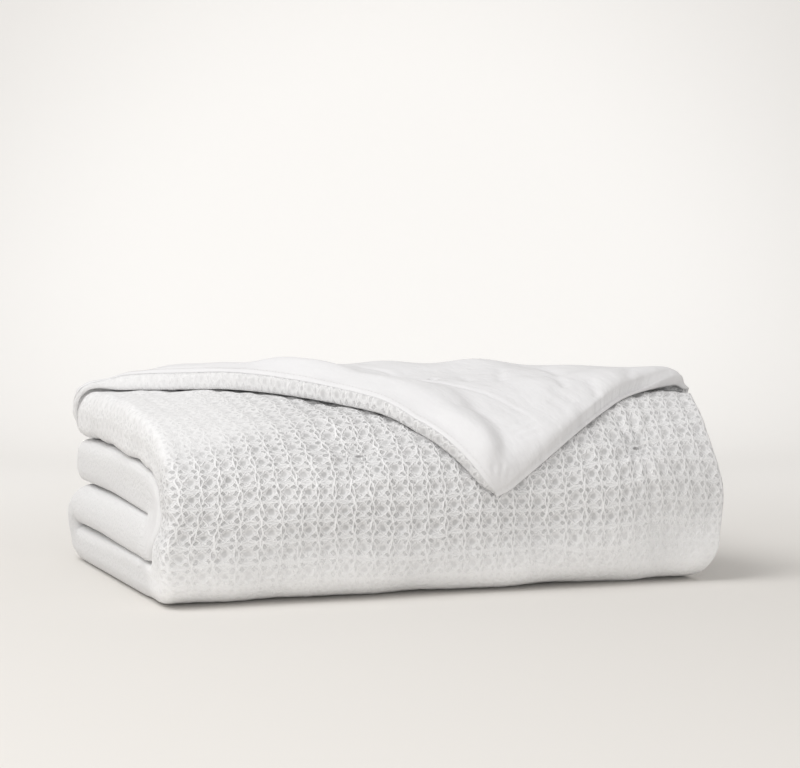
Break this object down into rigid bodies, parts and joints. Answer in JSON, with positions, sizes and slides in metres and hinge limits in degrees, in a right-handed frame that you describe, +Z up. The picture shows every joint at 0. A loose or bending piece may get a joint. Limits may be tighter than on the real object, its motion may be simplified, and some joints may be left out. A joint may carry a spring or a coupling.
{
  "type": "folded waffle comforter",
  "caption": "White waffle-weave comforter folded into a rounded stack, with a corner of its top layer turned over to show the smooth plain back; bedding to lay on a bed, bench or shelf",
  "frame": {"origin": "on the surface it rests on, under the middle of the folded stack's bounding box", "axes": "+X along the folded length from the stacked rolls to the free edges, +Y from the rounded front fold to the back, +Z up"},
  "size_m": [0.6034, 0.4458, 0.2286],
  "materials": {
    "waffle_cotton": "matt white waffle weave",
    "plain_cotton": "smooth matt white plain weave"
  },
  "bodies": {
    "root": {"waffle_face": "waffle_cotton", "plain_back": "plain_cotton"}
  },
  "joints": []
}
